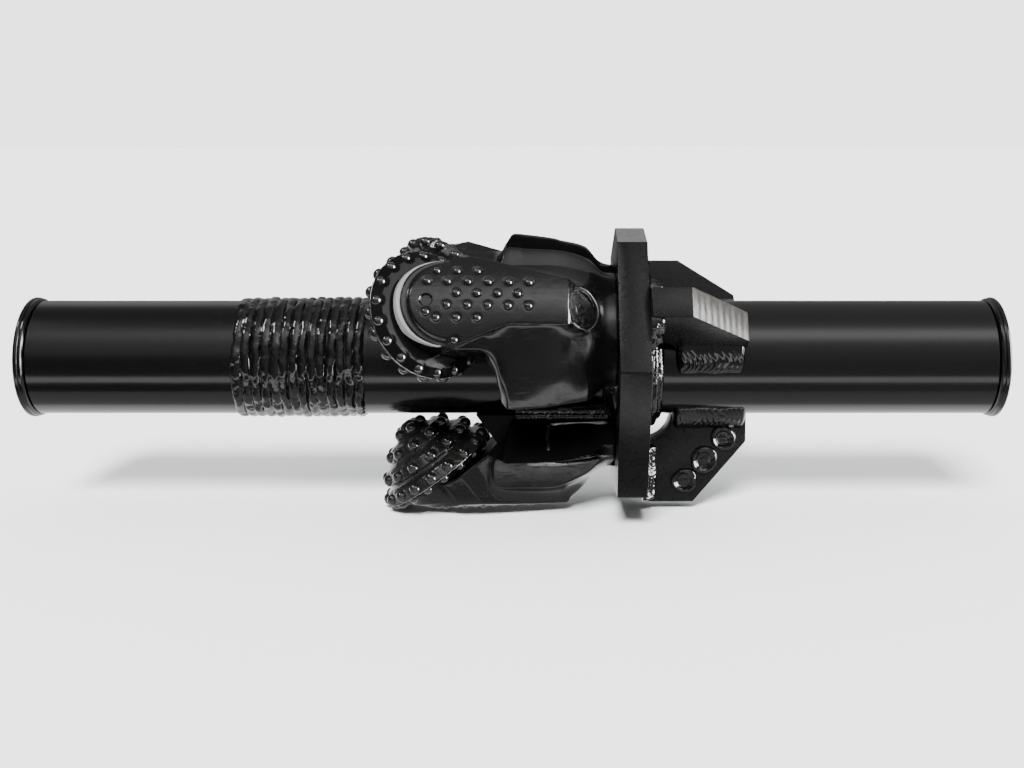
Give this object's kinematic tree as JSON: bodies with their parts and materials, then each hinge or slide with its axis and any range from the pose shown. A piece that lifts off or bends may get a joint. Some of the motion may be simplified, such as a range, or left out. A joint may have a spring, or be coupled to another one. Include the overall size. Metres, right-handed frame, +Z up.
{
  "type": "roller cone hole opener",
  "caption": "Hole opener: roller cone legs welded round a thick tube behind a hardfaced band, backed by a six-sided plate and ribs, to widen a drilled hole.",
  "frame": {"origin": "on the mandrel's axis, halfway between its end faces", "axes": "+X along the mandrel towards the plate side, +Z up with leg 2 straight down, +Y away from the picture's camera"},
  "size_m": [0.975, 0.2944, 0.2871],
  "materials": {
    "mandrel_paint": "glossy black paint",
    "weld_metal": "glossy black paint over rippled weld",
    "plate_steel": "semi-matte black paint on plate",
    "leg_steel": "semi-gloss black paint on forged steel",
    "cone_steel": "glossy thin black paint on machined steel",
    "carbide": "glossy thin paint on hard inserts",
    "bright_steel": "ground bearing steel",
    "bearing_bronze": "turned bronze",
    "rubber": "moulded rubber",
    "protector_plastic": "glossy black moulding"
  },
  "bodies": {
    "mandrel_body": {"mandrel": "mandrel_paint", "hardfacing_band": "weld_metal", "support_plate": "plate_steel", "plate_weld_rear": "weld_metal", "plate_weld_front": "weld_metal", "gusset_1": "plate_steel", "gusset_weld_1": "weld_metal", "leg_1": "leg_steel", "leg_weld_1": "weld_metal", "leg_buttons_1": "carbide", "ball_plug_1": "bright_steel", "compensator_cap_1": "leg_steel", "compensator_diaphragm_1": "rubber", "snap_ring_1": "bright_steel", "gusset_2": "plate_steel", "gusset_weld_2": "weld_metal", "leg_2": "leg_steel", "leg_weld_2": "weld_metal", "leg_buttons_2": "carbide", "ball_plug_2": "bright_steel", "compensator_cap_2": "leg_steel", "compensator_diaphragm_2": "rubber", "snap_ring_2": "bright_steel", "gusset_3": "plate_steel", "gusset_weld_3": "weld_metal", "leg_3": "leg_steel", "leg_weld_3": "weld_metal", "leg_buttons_3": "carbide", "ball_plug_3": "bright_steel", "compensator_cap_3": "leg_steel", "compensator_diaphragm_3": "rubber", "snap_ring_3": "bright_steel"},
    "cone_1": {"cone_1": "cone_steel", "cone_inserts_1": "carbide", "seal_ring_1": "rubber"},
    "balls_1": {"ball_bearings_1": "bright_steel"},
    "bushing_1": {"journal_bushing_1": "bearing_bronze", "thrust_washer_1": "bearing_bronze"},
    "cone_2": {"cone_2": "cone_steel", "cone_inserts_2": "carbide", "seal_ring_2": "rubber"},
    "balls_2": {"ball_bearings_2": "bright_steel"},
    "bushing_2": {"journal_bushing_2": "bearing_bronze", "thrust_washer_2": "bearing_bronze"},
    "cone_3": {"cone_3": "cone_steel", "cone_inserts_3": "carbide", "seal_ring_3": "rubber"},
    "balls_3": {"ball_bearings_3": "bright_steel"},
    "bushing_3": {"journal_bushing_3": "bearing_bronze", "thrust_washer_3": "bearing_bronze"},
    "gasket_front_body": {"gasket_front": "protector_plastic"},
    "protector_front_body": {"protector_front": "protector_plastic"},
    "gasket_rear_body": {"gasket_rear": "protector_plastic"},
    "protector_rear_body": {"protector_rear": "protector_plastic"}
  },
  "joints": [
    {"name": "cone_1_spin", "type": "hinge", "parent": "mandrel_body", "child": "cone_1", "pos_m": [-0.072, -0.10566, 0.061], "axis": [-0.5878, 0.7006, -0.4045], "continuous": true},
    {"name": "ball_orbit_1", "type": "hinge", "parent": "mandrel_body", "child": "balls_1", "pos_m": [-0.072, -0.10566, 0.061], "axis": [-0.5878, 0.7006, -0.4045], "continuous": true},
    {"name": "bushing_float_1", "type": "hinge", "parent": "mandrel_body", "child": "bushing_1", "pos_m": [-0.072, -0.10566, 0.061], "axis": [-0.5878, 0.7006, -0.4045], "continuous": true},
    {"name": "cone_2_spin", "type": "hinge", "parent": "mandrel_body", "child": "cone_2", "pos_m": [-0.072, 0, -0.122], "axis": [-0.5878, 0, 0.809], "continuous": true},
    {"name": "ball_orbit_2", "type": "hinge", "parent": "mandrel_body", "child": "balls_2", "pos_m": [-0.072, 0, -0.122], "axis": [-0.5878, 0, 0.809], "continuous": true},
    {"name": "bushing_float_2", "type": "hinge", "parent": "mandrel_body", "child": "bushing_2", "pos_m": [-0.072, 0, -0.122], "axis": [-0.5878, 0, 0.809], "continuous": true},
    {"name": "cone_3_spin", "type": "hinge", "parent": "mandrel_body", "child": "cone_3", "pos_m": [-0.072, 0.10566, 0.061], "axis": [-0.5878, -0.7006, -0.4045], "continuous": true},
    {"name": "ball_orbit_3", "type": "hinge", "parent": "mandrel_body", "child": "balls_3", "pos_m": [-0.072, 0.10566, 0.061], "axis": [-0.5878, -0.7006, -0.4045], "continuous": true},
    {"name": "bushing_float_3", "type": "hinge", "parent": "mandrel_body", "child": "bushing_3", "pos_m": [-0.072, 0.10566, 0.061], "axis": [-0.5878, -0.7006, -0.4045], "continuous": true},
    {"name": "protector_front_travel", "type": "slide", "parent": "mandrel_body", "child": "gasket_front_body", "axis": [-1, 0, 0], "range_m": [0, 0.02541]},
    {"name": "protector_front_turn", "type": "hinge", "parent": "gasket_front_body", "child": "protector_front_body", "pos_m": [-0.478, 0, 0], "axis": [1, 0, 0], "range_deg": [0, 1800]},
    {"name": "protector_rear_travel", "type": "slide", "parent": "mandrel_body", "child": "gasket_rear_body", "axis": [1, 0, 0], "range_m": [0, 0.02541]},
    {"name": "protector_rear_turn", "type": "hinge", "parent": "gasket_rear_body", "child": "protector_rear_body", "pos_m": [0.478, 0, 0], "axis": [-1, 0, 0], "range_deg": [0, 1800]}
  ],
  "couplings": [
    {"joint": "ball_orbit_1", "follows": "cone_1_spin", "ratio": 0.598},
    {"joint": "bushing_float_1", "follows": "cone_1_spin", "ratio": 0.5},
    {"joint": "ball_orbit_2", "follows": "cone_2_spin", "ratio": 0.598},
    {"joint": "bushing_float_2", "follows": "cone_2_spin", "ratio": 0.5},
    {"joint": "ball_orbit_3", "follows": "cone_3_spin", "ratio": 0.598},
    {"joint": "bushing_float_3", "follows": "cone_3_spin", "ratio": 0.5},
    {"joint": "protector_front_travel", "follows": "protector_front_turn", "m_per_rad": 0.00080851},
    {"joint": "protector_rear_travel", "follows": "protector_rear_turn", "m_per_rad": 0.00080851}
  ]
}
